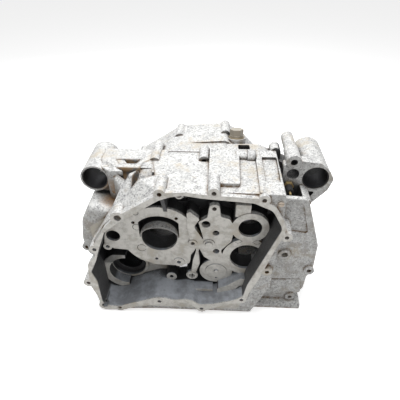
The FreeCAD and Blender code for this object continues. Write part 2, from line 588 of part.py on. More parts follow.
tools = [
    groove,
    drum("crank_bore", s.crank_x, s.crank_z, s.crank_bore, groove_front, behind_web),
    drum("main_bore", s.main_x, s.main_z, s.main_bore, before_gears, behind_web),
    drum("counter_bore", s.counter_x, s.counter_z, s.counter_bore, before_gears, behind_web),
    drum("main_seat", s.main_x, s.main_z, s.main_bore + s.seat_step, s.gear_face + s.ring_lip, behind_web),
    drum("counter_seat", s.counter_x, s.counter_z, s.counter_bore + s.seat_step,
         s.gear_face + s.ring_lip, behind_web),
    drum("starter_bore", s.starter_x, s.starter_z, s.starter_bore, s.starter_front - s.over,
         s.web_back - s.starter_floor),
    drum("starter_through", s.starter_x, s.starter_z, s.starter_step, s.web_front, behind_web),
    drum("sleeve_hole", s.sleeve_x, s.sleeve_z, s.oil_sleeve_outer + s.sleeve_play, groove_front,
         s.wall_face + s.oil_sleeve_length),
    drum("sleeve_drill", s.sleeve_x, s.sleeve_z, s.oil_sleeve_bore, groove_front, s.web_front),
    prism("flank_panel", outlines["flank_panel"], s.flank_face - s.over, s.flank_face + s.panel_deep),
    prism("slot_left", outlines["slot_left"], s.pad_face - s.over, s.web_front),
    prism("slot_right", outlines["slot_right"], s.pad_face - s.over, s.web_front),
    prism("web_triangle", outlines["web_triangle"], before_plate, behind_plate),
    drum("plate_hole_right", s.plate_hole_x, s.plate_hole_z, s.plate_hole, before_plate, behind_plate),
    slab("top_panel", plans["top_panel"], s.top_face - s.panel_deep, s.top_face + s.sunk),
    slab("pocket_back", plans["pocket_back"], s.pocket_back_floor, above_top),
    slab("pocket_middle", plans["pocket_middle"], s.pocket_middle_floor, above_top),
    slab("pocket_front", plans["pocket_front"], s.pocket_front_floor, above_top),
    drum("left_mount_bore", s.left_mount_x, s.left_mount_z, s.mount_bore, s.left_mount_front - s.over,
         s.left_mount_back + s.over),
    drum("right_mount_bore", s.right_mount_x, s.right_mount_z, s.mount_bore,
         s.right_mount_front - s.over, s.right_mount_back + s.over),
    drum("tube_hole", s.tube_x, s.tube_z, s.tube_bore, s.tube_front - s.over, s.tube_back + s.over),
    rod("spigot", s.spigot, s.rear_floor, s.spigot_x, s.spigot_y, -s.over, UPRIGHT),
    block("switch_room"),
    rod("plug_room", s.plug_radius + s.plug_play, s.plug_length + s.over, s.gallery_right, s.gallery_y,
        s.gallery_z, ALONG_X),
    rod("gallery_drill", s.plug_pilot + s.sleeve_play, s.plug_pilot_length + s.over,
        s.gallery_right - s.plug_pilot_length, s.gallery_y, s.gallery_z, ALONG_X),
    drum("switch_hole", s.switch_x, s.switch_z, s.switch_thread + s.switch_play, before_plate,
         behind_plate),
    drum("face_screw_hole", s.face_screw_x, s.face_screw_z, s.face_screw_shank + s.face_screw_play,
         s.corner_front - s.over, s.corner_front + s.face_screw_length + s.over),
]
for name, (x, z, radius, front, back) in holes.items():
    tools.append(drum(name, x, z, radius, front, back))
RETAINER_ANGLES = (55, 143, 261)
for angle in RETAINER_ANGLES:
    tools.append(drum("retainer_hole_%d" % angle,
                      s.crank_x + s.retainer_circle * math.cos(math.radians(angle)),
                      s.crank_z + s.retainer_circle * math.sin(math.radians(angle)),
                      s.retainer_hole, groove_front, s.wall_face + s.retainer_depth))
for name, (x, z) in cover_screws.items():
    tools.append(drum("screw_hole_" + name, x, z, s.screw_hole, -s.over, s.screw_depth))
for name, (x, z) in cover_dowels.items():
    tools.append(drum("dowel_hole_" + name, x, z, s.dowel_hole, -s.over, s.dowel_depth))
    tools.append(drum("dowel_drill_" + name, x, z, s.screw_hole, -s.over, s.screw_depth))
for name, (x, z) in case_bolts.items():
    tools.append(drum("case_hole_" + name, x, z, s.case_hole, BOLT_FRONTS[name] - s.over, s.split + s.over))
for name in CASE_DOWELS:
    x, z = case_bolts[name]
    tools.append(drum("dowel_seat_front_" + name, x, z, s.case_dowel + s.dowel_play,
                      s.split - s.case_dowel_half, s.split + s.over))


def stud_holes(name, signs_y):
    """The threaded holes round the cylinder opening, on one side of the joint between the halves."""
    return [rod("%s_%d_%d" % (name, side, sign), s.stud_hole, s.stud_depth + s.over,
                s.spigot_x + s.stud_reach * side, s.spigot_y + s.stud_reach * sign, -s.over, UPRIGHT)
            for side in (-1, 1) for sign in signs_y]


# The upper half of the crank bore stands forward as a collar whose edge slopes back to the bore's middle.
collar_front = s.wall_face - s.collar_reach
collar = overlap("collar", [
    cut("collar_ring", drum("collar_outer", s.crank_x, s.crank_z, collar_outer, collar_front, s.web_back),
        [drum("collar_inner", s.crank_x, s.crank_z, s.crank_bore + s.collar_step, collar_front - s.over,
              behind_web)]),
    wedge("collar_slope", (s.crank_x - collar_outer, s.crank_x + collar_outer),
          (s.crank_z, s.crank_z + collar_outer), (s.wall_face, collar_front), s.web_back),
])
bored = cut("bored", with_islands, tools + stud_holes("front_stud", (-1,)))
finish("front_case", join("front_case", [bored, collar]))

# Rear case
DRAIN = Rotation(Vector(1, 0, 0), -s.drain_lean.value)


def drain_point(height):
    """A point on the drain bolt's leaning axis."""
    lean = math.radians(s.drain_lean.value)
    return s.drain_x, s.drain_y + height * math.sin(lean), s.drain_z + height * math.cos(lean)


def on_drain(name, radius, low, high):
    """A cylinder on the drain bolt's leaning axis, between two heights along it."""
    low, high = as_size(low), as_size(high)
    return rod(name, radius, high - low, *drain_point(low), DRAIN)


rear_body = soften("rear_body_soft", prism("rear_body", outlines["rear_body"], s.split + s.over,
                                           s.rear_web_back), s.flank_round,
                   in_plane("y", s.rear_web_back.value))
rear_skin = [
    prism("rear_plate", outlines["split_outline"], s.split, s.rear_plate_back), rear_body,
    prism("dome", outlines["dome"], s.rear_plate_back, s.rear_face),
    on_drain("drain_boss", s.drain_boss, -s.drain_boss_height, 0),
    overlap("rear_base", [slab("rear_base_block", plans["rear_base"], 0, s.rear_floor),
                          box("rear_half", (s.spigot_x - s.rear_limit, s.spigot_x + s.rear_limit),
                              (s.split, s.rear_face), (0, s.rear_floor))]),
    drum("rear_lug", s.rear_lug_x, s.rear_lug_z, s.screw_boss, s.split, s.rear_plate_back),
    box("rear_lug_root", (s.rear_lug_x - s.screw_boss, s.rear_lug_x + s.screw_boss),
        (s.split, s.rear_plate_back), (s.rear_lug_z - s.rear_lug_root, s.rear_lug_z)),
]
rear_skin += [drum("rear_boss_" + name, x, z, s.screw_boss, s.rear_web_back, s.rear_face)
              for name, (x, z) in rear_screws.items()]
rear_skin += [drum("rear_case_boss_" + name, x, z, s.case_boss, s.split, s.rear_plate_back)
              for name, (x, z) in case_bolts.items()]
before_rear_web = s.rear_web_front - s.over
behind_rear_web = s.rear_web_back + s.over
rear_tools = [
    prism("rear_cavity", outlines["rear_cavity"], s.split - s.over, s.rear_web_front),
    prism("stator_chamber", outlines["rear_chamber"], s.rear_web_back, s.rear_face + s.over),
    drum("rear_crank_bore", s.crank_x, s.crank_z, s.rear_crank_bore, before_rear_web, behind_rear_web),
    drum("rear_main_bore", s.main_x, s.main_z, s.rear_main_bore, before_rear_web, behind_rear_web),
    drum("output_bore", s.counter_x, s.counter_z, s.output_bore, before_rear_web, behind_rear_web),
    drum("shift_bore", s.shift_x, s.shift_z, s.shift_bore, before_rear_web, behind_rear_web),
    rod("rear_spigot", s.spigot, s.rear_floor + s.over * 2, s.spigot_x, s.spigot_y, -s.over, UPRIGHT),
    on_drain("drain_hole", s.drain_shank + s.washer_play, -s.drain_shank_length - s.over, s.over),
    on_drain("drain_spot", s.washer_outer + s.plug_play, 0, s.drain_boss_height),
    slab("drain_gap", plans["drain_gap"], s.drain_gap_floor, above_top + s.sunk),
    drum("left_mount_room", s.left_mount_x, s.left_mount_z, s.left_mount_outer + s.mount_play,
         s.split - s.over, s.left_mount_back + s.over),
    drum("right_mount_room", s.right_mount_x, s.right_mount_z, s.right_mount_outer + s.mount_play,
         s.split - s.over, s.right_mount_back + s.over),
]
rear_tools += stud_holes("rear_stud", (1,))
for name, (x, z) in rear_screws.items():
    rear_tools.append(drum("rear_screw_hole_" + name, x, z, s.screw_hole, s.rear_face - s.screw_depth,
                           s.rear_face + s.over))
for name, (x, z) in case_bolts.items():
    rear_tools.append(drum("rear_case_hole_" + name, x, z, s.case_hole, s.split - s.over,
                           s.rear_plate_back + s.over))
    rear_tools.append(drum("head_room_" + name, x, z, s.case_spot, s.rear_plate_back, s.rear_face))
for name in CASE_DOWELS:
    x, z = case_bolts[name]
    rear_tools.append(drum("dowel_seat_rear_" + name, x, z, s.case_dowel + s.dowel_play,
                           s.split - s.over, s.split + s.case_dowel_half))
finish("rear_case", cut("rear_case", join("rear_outer", rear_skin), rear_tools))


def case_bolt(name, x, z):
    """A flanged hexagon bolt through the rear case into the front one, its head behind the rear plate."""
    head_front = s.rear_plate_back + s.case_flange_height
    shank_front = s.split - s.case_thread
    return join("case_bolt_" + name, [
        drum("case_shank_" + name, x, z, s.case_shank, shank_front, head_front),
        drum("case_flange_" + name, x, z, s.case_flange, s.rear_plate_back, head_front),
        hexagon("case_head_" + name, s.case_across, s.case_head_height, x, head_front, z, ALONG_Y),
    ])


def pipe(name, x, z, outer_radius, inner_radius, front, back):
    """A plain sleeve along y."""
    return cut(name, drum(name + "_outer", x, z, outer_radius, front, back),
               [drum(name + "_inner", x, z, inner_radius, as_size(front) - s.over, as_size(back) + s.over)])


finish("case_bolts", group("case_bolts", [case_bolt(name, x, z) for name, (x, z) in case_bolts.items()]))
finish("case_dowels", group("case_dowels", [
    pipe("case_dowel_" + name, *case_bolts[name], s.case_dowel, s.case_dowel_bore,
         s.split - s.case_dowel_half, s.split + s.case_dowel_half) for name in CASE_DOWELS]))

# Sleeves
sleeve_front = s.wall_face - s.oil_sleeve_proud
sleeve_back = s.wall_face + s.oil_sleeve_length
finish("oil_sleeve", cut("oil_sleeve", drum("oil_sleeve_body", s.sleeve_x, s.sleeve_z, s.oil_sleeve_outer,
                                            sleeve_front, sleeve_back), [
    drum("oil_sleeve_hollow", s.sleeve_x, s.sleeve_z, s.oil_sleeve_bore, sleeve_front - s.over,
         sleeve_back + s.over),
    box("oil_sleeve_gap", (s.sleeve_x - s.oil_sleeve_slit * 0.5, s.sleeve_x + s.oil_sleeve_slit * 0.5),
        (sleeve_front - s.over, sleeve_back + s.over), (s.sleeve_z - s.oil_boss, s.sleeve_z)),
]))
for side, x, z, front in (("left", s.left_mount_x, s.left_mount_z, s.left_mount_front),
                          ("right", s.right_mount_x, s.right_mount_z, s.right_mount_front)):
    sleeve_start = front + s.sleeve_set_back
    label = side + "_mount_sleeve"
    finish(label, pipe(label, x, z, s.mount_bore, s.sleeve_bore, sleeve_start,
                       sleeve_start + s.sleeve_length))

# Drain bolt and its washer
flange_top = s.washer_thick + s.drain_flange_height
finish("drain_washer", cut("drain_washer", on_drain("washer_disc", s.washer_outer, 0, s.washer_thick),
                           [on_drain("washer_hole", s.drain_shank + s.washer_play, -s.over,
                                     s.washer_thick + s.over)]))
finish("drain_bolt", join("drain_bolt", [
    on_drain("drain_thread", s.drain_shank, -s.drain_shank_length, flange_top),
    on_drain("drain_flange", s.drain_flange, s.washer_thick, flange_top),
    hexagon("drain_hex", s.drain_across, s.drain_head, *drain_point(flange_top), DRAIN),
]))

# Plug at the end of the oil gallery
plug_head = rod("plug_head", s.plug_radius, s.plug_length, s.gallery_right, s.gallery_y, s.gallery_z, ALONG_X)
finish("gallery_plug", join("gallery_plug", [
    soften("plug_head_soft", plug_head, s.plug_round,
           in_plane("x", s.gallery_right.value + s.plug_length.value)),
    rod("plug_pilot", s.plug_pilot, s.plug_pilot_length, s.gallery_right - s.plug_pilot_length,
        s.gallery_y, s.gallery_z, ALONG_X),
]))

# Slotted screw in the corner's face
screw_front = s.corner_front - s.face_screw_height
finish("face_screw", cut("face_screw", join("face_screw_solid", [
    drum("face_screw_head", s.face_screw_x, s.face_screw_z, s.face_screw_head, screw_front, s.corner_front),
    drum("face_screw_shank", s.face_screw_x, s.face_screw_z, s.face_screw_shank, s.corner_front,
         s.corner_front + s.face_screw_length),
]), [box("face_screw_slot", (s.face_screw_x - s.face_screw_head, s.face_screw_x + s.face_screw_head),
         (screw_front - s.over, screw_front + s.face_screw_slot),
         (s.face_screw_z - s.face_screw_slot * 0.5, s.face_screw_z + s.face_screw_slot * 0.5))]))

# Neutral switch: a brass ring screwed into the plate, a black body and its terminal
ring_front = s.plate_front - s.switch_hex_height
body_front = ring_front - s.switch_body_length
finish("switch_ring", cut("switch_ring", join("switch_ring_solid", [
    hexagon("switch_hex", s.switch_hex, s.switch_hex_height, s.switch_x, ring_front, s.switch_z, ALONG_Y),
    drum("switch_thread", s.switch_x, s.switch_z, s.switch_thread, ring_front,
         s.plate_front + s.switch_thread_length),
]), [drum("switch_core_hole", s.switch_x, s.switch_z, s.switch_core + s.switch_play, ring_front - s.over,
          ring_front + s.switch_core_length)]))
finish("switch_body", cut("switch_body", join("switch_body_solid", [
    drum("switch_body_barrel", s.switch_x, s.switch_z, s.switch_body, body_front, ring_front),
    drum("switch_core", s.switch_x, s.switch_z, s.switch_core, body_front,
         ring_front + s.switch_core_length),
]), [drum("switch_pin_hole", s.switch_x, s.switch_z, s.switch_pin_root + s.switch_play, body_front - s.over,
          body_front + s.switch_pin_root_length)]))
finish("switch_terminal", join("switch_terminal", [
    drum("switch_pin", s.switch_x, s.switch_z, s.switch_pin, body_front - s.switch_pin_length, body_front),
    drum("switch_pin_root", s.switch_x, s.switch_z, s.switch_pin_root, body_front - s.over,
         body_front + s.switch_pin_root_length),
]))

doc.recompute()
os.makedirs("parts", exist_ok=True)
faults = [thing.Name for thing in doc.Objects if "Invalid" in thing.State or "Error" in thing.State]
if faults:
    raise SystemExit("failed: %s" % ", ".join(faults))
for label, thing in finished.items():
    shape = thing.Shape
    if shape.isNull() or not shape.isValid():
        raise SystemExit("not a valid shape: %s" % label)
    print("%-18s %2d solid(s) %9.0f mm3" % (label, len(shape.Solids), shape.Volume))
    shape.exportStep(os.path.join("parts", label + ".step"))
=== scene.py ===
# %% [markdown]
# # A used engine crankcase
#
# The object is the bare casting of a small engine, standing upside down on its cylinder face. The packed
# CAD model gives every sub-part its shape and place. This lesson gives the castings their look: sand-cast
# walls, milled faces, hollows painted dark as shade and the brown stains that a used case collects. All
# lengths are in metres, in the frame of the CAD model: x to the gearbox end, y away from the clutch
# cover, z upwards.

# %% Load the frame
import math

import bpy
import numpy as np
from mathutils import Matrix, Vector


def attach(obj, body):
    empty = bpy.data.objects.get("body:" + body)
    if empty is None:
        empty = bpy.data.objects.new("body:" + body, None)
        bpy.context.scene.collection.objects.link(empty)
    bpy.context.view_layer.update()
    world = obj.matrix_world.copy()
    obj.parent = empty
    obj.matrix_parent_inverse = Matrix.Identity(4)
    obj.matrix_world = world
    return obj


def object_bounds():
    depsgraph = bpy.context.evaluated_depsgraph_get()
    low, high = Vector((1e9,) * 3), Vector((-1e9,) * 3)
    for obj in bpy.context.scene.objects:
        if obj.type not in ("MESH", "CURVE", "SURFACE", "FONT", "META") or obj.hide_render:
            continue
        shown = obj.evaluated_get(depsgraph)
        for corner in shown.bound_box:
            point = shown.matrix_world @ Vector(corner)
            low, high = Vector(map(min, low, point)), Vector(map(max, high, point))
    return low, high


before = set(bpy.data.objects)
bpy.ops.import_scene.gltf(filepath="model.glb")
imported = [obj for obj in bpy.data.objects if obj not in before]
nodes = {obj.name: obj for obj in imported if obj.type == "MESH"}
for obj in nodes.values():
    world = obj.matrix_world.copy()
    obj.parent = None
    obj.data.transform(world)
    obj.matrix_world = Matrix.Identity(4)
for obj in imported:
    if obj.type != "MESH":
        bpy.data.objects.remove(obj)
cad_low, cad_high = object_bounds()
MM = 0.001
print("nodes:", len(nodes), "size in mm:", [round(side / MM) for side in cad_high - cad_low])

# %% [markdown]
# ## Camera
#
# The photograph looks down at the clutch side. Its camera was worked out from the rim's bolt holes, so the
# script states where it stands and its three directions, instead of turning it by hand until it fits.

# %% Camera
CAMERA_PLACE = Vector((0.075, -0.3784, 0.3595))
CAMERA_RIGHT = Vector((0.99889, 0.04711, 0))
CAMERA_UP = Vector((-0.028687, 0.608205, 0.793261))
FOCAL_IN_PIXELS = 370
PHOTO_WIDTH = 400
SENSOR_MM = 36

camera_data = bpy.data.cameras.new("photo_camera")
camera_data.sensor_width = SENSOR_MM
camera_data.lens = FOCAL_IN_PIXELS / PHOTO_WIDTH * SENSOR_MM
camera = bpy.data.objects.new("photo_camera", camera_data)
bpy.context.scene.collection.objects.link(camera)
turn = Matrix((CAMERA_RIGHT, CAMERA_UP, CAMERA_RIGHT.cross(CAMERA_UP))).transposed().to_4x4()
camera.matrix_world = Matrix.Translation(CAMERA_PLACE) @ turn
bpy.context.scene.camera = camera
bpy.context.scene.view_settings.view_transform = "Standard"
print("lens in mm:", round(camera_data.lens, 1))

# %% [markdown]
# ## Light
#
# The photograph has soft light from above, so the tops of the casting are nearly white and its hollows
# nearly black. One hard lamp would draw sharp shadows that the photograph doesn't have. A large soft lamp
# overhead does most of the work, and two dim ones keep the front and the back readable.

# %% Lamps
MIDDLE = (cad_low + cad_high) / 2
LAMPS = (
    ("overhead", (0.0, 0.1, 0.95), 0.7, 10.5),
    ("front", (0.25, -0.9, 0.45), 0.6, 2.2),
    ("rear", (-0.3, 1.1, 0.5), 0.6, 1.6),
)


def area_lamp(name, place, width, watts):
    """A square soft lamp that stands at place and faces the middle of the case."""
    data = bpy.data.lights.new(name, "AREA")
    data.size = width
    data.energy = watts
    lamp = bpy.data.objects.new(name, data)
    lamp.location = place
    lamp.rotation_euler = (MIDDLE - Vector(place)).to_track_quat("-Z", "Y").to_euler()
    bpy.context.scene.collection.objects.link(lamp)


for lamp_row in LAMPS:
    area_lamp(*lamp_row)
print("lamps:", len(LAMPS))

# %% [markdown]
# ## Shader maths
#
# Masks such as "this is a milled face" are sums and products of positions. Written as nodes they take
# pages, so one small class wraps a socket and lets Python's own operators add the Math nodes. Every other
# node comes from one method of the tree that it stands in.

# %% A socket that can be added and multiplied
class Value:
    """What a node gives: a number, a colour or a vector. Arithmetic on a number adds Math nodes."""

    def __init__(self, tree, socket):
        self.tree = tree
        self.socket = socket

    def math(self, operation, *others):
        return self.tree.node("ShaderNodeMath", {"operation": operation}, [self, *others])

    def __add__(self, other):
        return self.math("ADD", other)

    def __sub__(self, other):
        return self.math("SUBTRACT", other)

    def __mul__(self, other):
        return self.math("MULTIPLY", other)

    def __truediv__(self, other):
        return self.math("DIVIDE", other)

    def __radd__(self, other):
        return self + other

    def __rmul__(self, other):
        return self * other

    def __rsub__(self, other):
        return self.tree.node("ShaderNodeMath", {"operation": "SUBTRACT"}, [other, self])

    def above(self, low, high):
        """0 below low, 1 above high, and a smooth rise between."""
        return self.tree.node("ShaderNodeMapRange", {"interpolation_type": "SMOOTHSTEP", "clamp": True},
                              [self, low, high, 0.0, 1.0])

    def below(self, limit):
        """1 below the limit and 0 from it on."""
        return self.math("LESS_THAN", limit)

    def within(self, low, high):
        """1 between low and high and 0 outside them."""
        return self.math("GREATER_THAN", low) * self.below(high)

    def near(self, centre, reach):
        """1 at centre, falling to 0 at reach on either side."""
        return 1 - (self - centre).math("ABSOLUTE").above(reach * 0.5, reach)

    def either(self, other):
        """The larger of two masks."""
        return self.math("MAXIMUM", other)


# %% A tree that adds its own nodes
class Tree:
    """The nodes of a material or of the world."""

    def __init__(self, owner):
        owner.use_nodes = True
        self.nodes = owner.node_tree.nodes
        self.links = owner.node_tree.links

    def feed(self, node, sockets):
        """Fills a node's sockets: a Value is linked, and a plain number or colour is written there."""
        for key, value in sockets.items():
            if isinstance(value, Value):
                self.links.new(value.socket, node.inputs[key])
            else:
                node.inputs[key].default_value = value

    def node(self, kind, settings, sockets, output=0):
        """Adds a node, makes its settings, fills its sockets, and gives the output that is asked for."""
        made = self.nodes.new(kind)
        for name, setting in settings.items():
            setattr(made, name, setting)
        self.feed(made, sockets if isinstance(sockets, dict) else dict(enumerate(sockets)))
        return Value(self, made.outputs[output])


# %% A material with the patterns that the finishes share
MIX_COLOUR_A = 6
MIX_COLOUR_B = 7
MIX_COLOUR_RESULT = 2


def opaque(colour):
    """A plain colour gets the alpha of 1 that a colour socket asks for. A Value stays as it is."""
    return colour if isinstance(colour, Value) else (*colour, 1.0)


class Paint(Tree):
    """A material whose patterns follow the piece's own Object coordinates."""

    def __init__(self, name):
        self.material = bpy.data.materials.new(name)
        super().__init__(self.material)
        self.place = self.node("ShaderNodeTexCoord", {}, {}, "Object")
        self.facing = Value(self, self.place.socket.node.outputs["Normal"])

    def split(self, vector):
        """The three parts of a vector."""
        first_part = self.node("ShaderNodeSeparateXYZ", {}, [vector])
        return [Value(self, part) for part in first_part.socket.node.outputs]

    def noise(self, size, detail, roughness):
        """Cloudy noise whose blobs are about size metres across."""
        sockets = {"Vector": self.place, "Scale": 1 / size, "Detail": detail, "Roughness": roughness}
        return self.node("ShaderNodeTexNoise", {"noise_dimensions": "3D"}, sockets, "Fac")

    def mix(self, share, under, over):
        """A colour that goes from under to over as share goes from 0 to 1."""
        sockets = {0: share, MIX_COLOUR_A: opaque(under), MIX_COLOUR_B: opaque(over)}
        return self.node("ShaderNodeMix", {"data_type": "RGBA"}, sockets, MIX_COLOUR_RESULT)

    def openness(self, reach):
        """1 on open surfaces, falling towards 0 in creases and hollows narrower than reach."""
        return self.node("ShaderNodeAmbientOcclusion", {"samples": 8, "only_local": False},
                         {"Distance": reach}, "AO")

    def finish(self, colour, roughness, metallic, height, depth, edge):
        """Sends the looks to the shader. height is carved to depth, and edge is the radius by which sharp
        edges are shaded as if rounded."""
        rounded = self.node("ShaderNodeBevel", {"samples": 4}, {"Radius": edge})
        carved = self.node("ShaderNodeBump", {},
                           {"Strength": 1.0, "Distance": depth, "Height": height, "Normal": rounded})
        self.feed(self.nodes["Principled BSDF"],
                  {"Base Color": colour, "Roughness": roughness, "Metallic": metallic, "Normal": carved})
        return self.material


# %% [markdown]
# ## Cast aluminium
#
# A sand casting is grey-white and grainy, with dark flecks where the sand has left pits. Oil and dirt leave
# tan stains, the creases get brown dirt with painted shade, and the sides that do not face up get painted
# shade. No single noise looks like that, so four sizes of cloud are mixed in different shares, and each
# layer of colour goes over the one before it.

# %% Four sizes of cloud
# Each cloud is its size, its number of finer layers, and how strong those are.
GRAIN = (0.8 * MM, 4.0, 0.7)
FLECK = (2.4 * MM, 5.0, 0.7)
BLOTCH = (9 * MM, 5.0, 0.62)
CLOUDS = (34 * MM, 3.0, 0.5)
RAW_ROUGHNESS = 0.62
GRAIN_ROUGHNESS = 0.2
DULL_METAL = 0.2
PIT_DEPTH = 0.5 * MM
EDGE_RADIUS = 0.9 * MM


class Casting(Paint):
    """A paint with the place, the way the surface faces, and the clouds that every casting uses."""

    def __init__(self, name):
        super().__init__(name)
        self.x, self.y, self.z = self.split(self.place)
        self.across, self.along, self.upwards = self.split(self.facing)
        self.grain = self.noise(*GRAIN)
        self.fleck = self.noise(*FLECK)
        self.blotch = self.noise(*BLOTCH)
        self.clouds = self.noise(*CLOUDS)
        self.stained = (self.blotch * 0.55 + self.clouds * 0.6).above(0.58, 0.74) * 0.45
        self.roughness = RAW_ROUGHNESS + (self.grain - 0.5) * GRAIN_ROUGHNESS
        self.height = self.grain * 0.5 + self.fleck * 0.7


# %% The sand-cast skin
CAST_WHITE = (0.70, 0.70, 0.685)
CAST_GREY = (0.36, 0.36, 0.36)
PIT_GREY = (0.15, 0.15, 0.155)
SIDE_SHADE_GREY = (0.17, 0.165, 0.155)
TAN = (0.47, 0.38, 0.24)
BROWN = (0.13, 0.075, 0.03)
CREASE_REACH = 7 * MM


def sand_cast(cast):
    """The colour of a raw wall: grain, grey smears, dark pits, tan stains, painted shade in blotches on
    sides that do not face up, and brown dirt with painted shade in the creases, laid over each other in that
    order."""
    grainy = (cast.fleck * 0.6 + cast.blotch * 0.45 + cast.grain * 0.25).above(0.5, 0.76)
    skin = cast.mix(grainy, CAST_GREY, CAST_WHITE)
    smear = (cast.blotch * 0.6 + cast.clouds * 0.4).above(0.5, 0.6) * 0.35
    skin = cast.mix(smear, skin, CAST_GREY)
    pits = (1 - cast.fleck.above(0.37, 0.46)) * (1 - cast.clouds.above(0.45, 0.7) * 0.5) * 0.8
    skin = cast.mix(pits, skin, PIT_GREY)
    skin = cast.mix(cast.stained, skin, TAN)
    # Painted shade: sides that do not face up are painted darker, in blotches.
    side_shade = (1 - cast.upwards.above(0.1, 0.7)) * (0.25 + cast.blotch.above(0.4, 0.6) * 0.4)
    skin = cast.mix(side_shade, skin, SIDE_SHADE_GREY)
    # Brown dirt and painted shade: creases and hollows narrower than the reach are painted brown.
    crease_dirt_and_shade = 1 - cast.openness(CREASE_REACH).above(0.45, 0.9)
    return cast.mix(crease_dirt_and_shade * (0.4 + cast.blotch.above(0.42, 0.6) * 0.6), skin, BROWN)


# %% [markdown]
# ## Milled faces
#
# The faces that a cutter has milled are smoother, darker and a little warmer than the raw skin. All of them
# look at the clutch cover: the rim, and the islands inside the clutch chamber. So a face is milled where it
# looks that way and lies in the rim's plane or in the chamber, and the chamber is a box with three slanting
# sides, each given as a sum of x and z with a limit.

# %% Where a cutter has milled
RIM_PLANE = -35 * MM
RIM_REACH = 0.8 * MM
CHAMBER_ACROSS = (-94 * MM, 170 * MM)
CHAMBER_UPWARDS = (-118 * MM, 92 * MM)
CHAMBER_MOUTH = (-34 * MM, -33 * MM)
CHAMBER_SIDES = ((1, -0.33, 154 * MM), (1, 0.58, 190 * MM), (-0.714, 1, 88 * MM))


def in_chamber(cast):
    """1 inside the clutch chamber and 0 outside it."""
    inside = cast.x.within(*CHAMBER_ACROSS) * cast.z.within(*CHAMBER_UPWARDS) * cast.y.above(*CHAMBER_MOUTH)
    for per_x, per_z, limit in CHAMBER_SIDES:
        inside = inside * (cast.x * per_x + cast.z * per_z).below(limit)
    return inside


def is_milled(cast, inside):
    """1 on the faces that the cutter reached."""
    to_the_cover = (0 - cast.along).above(0.9, 0.98)
    return inside.either(cast.y.near(RIM_PLANE, RIM_REACH)) * to_the_cover


# %% Lines engraved on the bearing wall
LOOPS = ((-30.8, 18.2, 5.3), (-27.1, -21.4, 6.3), (-30, 44, 4))
LOOP_LINE = 0.8 * MM
LOZENGES = ((110, 0.6), (136.7, -0.6))
LOZENGE_HALF_WIDTH = 6.2 * MM
LOZENGE_HALF_HEIGHT = 4.5 * MM
LOZENGE_LINE = 0.14
BEARING_WALL = (-5 * MM, 2 * MM)


def engraved(cast):
    """1 on thin lines: a loop is a circle, the points at one distance from a centre. A lozenge is the points
    whose distances across and upwards, each divided by its half size, add up to 1."""
    lines = 0
    for centre_x, centre_z, radius in LOOPS:
        across = cast.x - centre_x * MM
        upwards = cast.z - centre_z * MM
        from_centre = (across * across + upwards * upwards).math("SQRT")
        lines = lines + from_centre.near(radius * MM, LOOP_LINE)
    for centre_x, centre_z in LOZENGES:
        across = (cast.x - centre_x * MM).math("ABSOLUTE") / LOZENGE_HALF_WIDTH
        upwards = (cast.z - centre_z * MM).math("ABSOLUTE") / LOZENGE_HALF_HEIGHT
        lines = lines + (across + upwards).near(1, LOZENGE_LINE)
    return lines * cast.y.within(*BEARING_WALL) * cast.blotch.above(0.36, 0.5) * 0.85


# %% The colour of a milled face
MILLED = (0.50, 0.485, 0.45)
MILLED_DARK = (0.23, 0.22, 0.20)
GRIME_AND_SHADE_BLACK = (0.03, 0.03, 0.03)


def milled_metal(cast):
    """Warm grey with darker scuffs, faint stains and dirt in the engraved lines."""
    scuffed = (cast.clouds * 0.35 + cast.blotch * 0.4 + cast.fleck * 0.25).above(0.44, 0.58) * 0.6
    face = cast.mix(scuffed, MILLED, MILLED_DARK)
    face = cast.mix(cast.stained * 0.5, face, TAN)
    return cast.mix(engraved(cast), face, GRIME_AND_SHADE_BLACK)


# %% [markdown]
# ## The inside, painted with shade and a sky reflection
#
# Inside the clutch chamber the floors that face up are painted blue grey as a sky reflection, and the walls
# are painted nearly black as shade. Behind the milled islands, and in narrow hollows, everything is painted
# black as shade. In the low passage at the left the light reaches further in, so its painted shade starts
# further back. Beside the left mount one brown patch is rust with painted shade. Painting this by hand
# would need a picture, so the place and the openness of the surface decide instead.

# %% Painted shade, painted sky reflection on the floor, and rust with painted shade
CHAMBER_MIDDLE_X = 35 * MM
CHAMBER_MIDDLE_Z = -10 * MM
TURNS_INWARD = 6 * MM
SHADED_WALL_GREY = (0.05, 0.05, 0.052)
FLOOR_SKY_BLUE = (0.46, 0.49, 0.54)
FLOOR_DARK = (0.20, 0.21, 0.23)
DEEP_SHADE_BLACK = (0.012, 0.012, 0.013)
SHADE_STARTS = (2 * MM, 6 * MM)
PASSAGE_SHADE_STARTS = (18 * MM, 30 * MM)
PASSAGE_ROOF = (-66 * MM, -58 * MM)
PASSAGE_SIDE = (0, 8 * MM)
HOLLOW_REACH = 55 * MM
RUST_AND_SHADE_BROWN = (0.20, 0.105, 0.035)
RUST_AND_SHADE_PLACE = (-60 * MM, 12 * MM, 68 * MM)
RUST_AND_SHADE_REACH = 26 * MM


def behind_the_islands(cast, inside):
    """1 where the chamber lies so far back that it is painted black as shade."""
    passage = (1 - cast.z.above(*PASSAGE_ROOF)) * (1 - cast.x.above(*PASSAGE_SIDE))
    return inside * (cast.y.above(*SHADE_STARTS) * (1 - passage) + cast.y.above(*PASSAGE_SHADE_STARTS) * passage)


